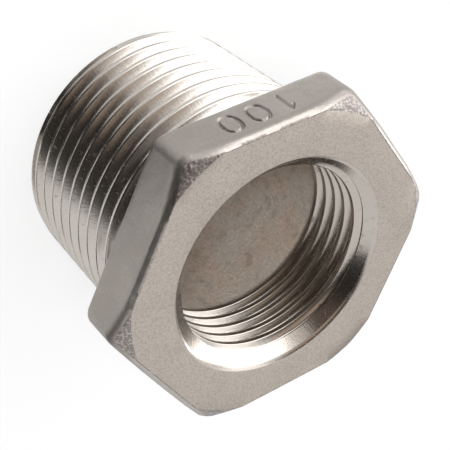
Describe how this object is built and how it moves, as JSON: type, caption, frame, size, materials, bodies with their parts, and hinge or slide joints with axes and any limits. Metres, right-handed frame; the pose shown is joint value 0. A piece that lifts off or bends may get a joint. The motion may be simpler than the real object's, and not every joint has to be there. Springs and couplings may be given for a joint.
{
  "type": "hex bushing",
  "caption": "Hexagon reducing bushing with a tapered male pipe thread, a threaded and countersunk bore through its hexagon face and a cored passage behind it.",
  "frame": {"origin": "centre of the male thread's free end, where the bushing stands", "axes": "+Z along the common axis of both threads, from the male thread's free end towards the hexagon's face; -Y is the outward normal of one flat of the hexagon, and +X points at a corner"},
  "size_m": [0.0432, 0.038, 0.0304],
  "materials": {
    "cast_stainless": "investment-cast stainless steel with a turned face and machined threads"
  },
  "bodies": {
    "root": {"hex_bushing": "cast_stainless"}
  },
  "joints": []
}
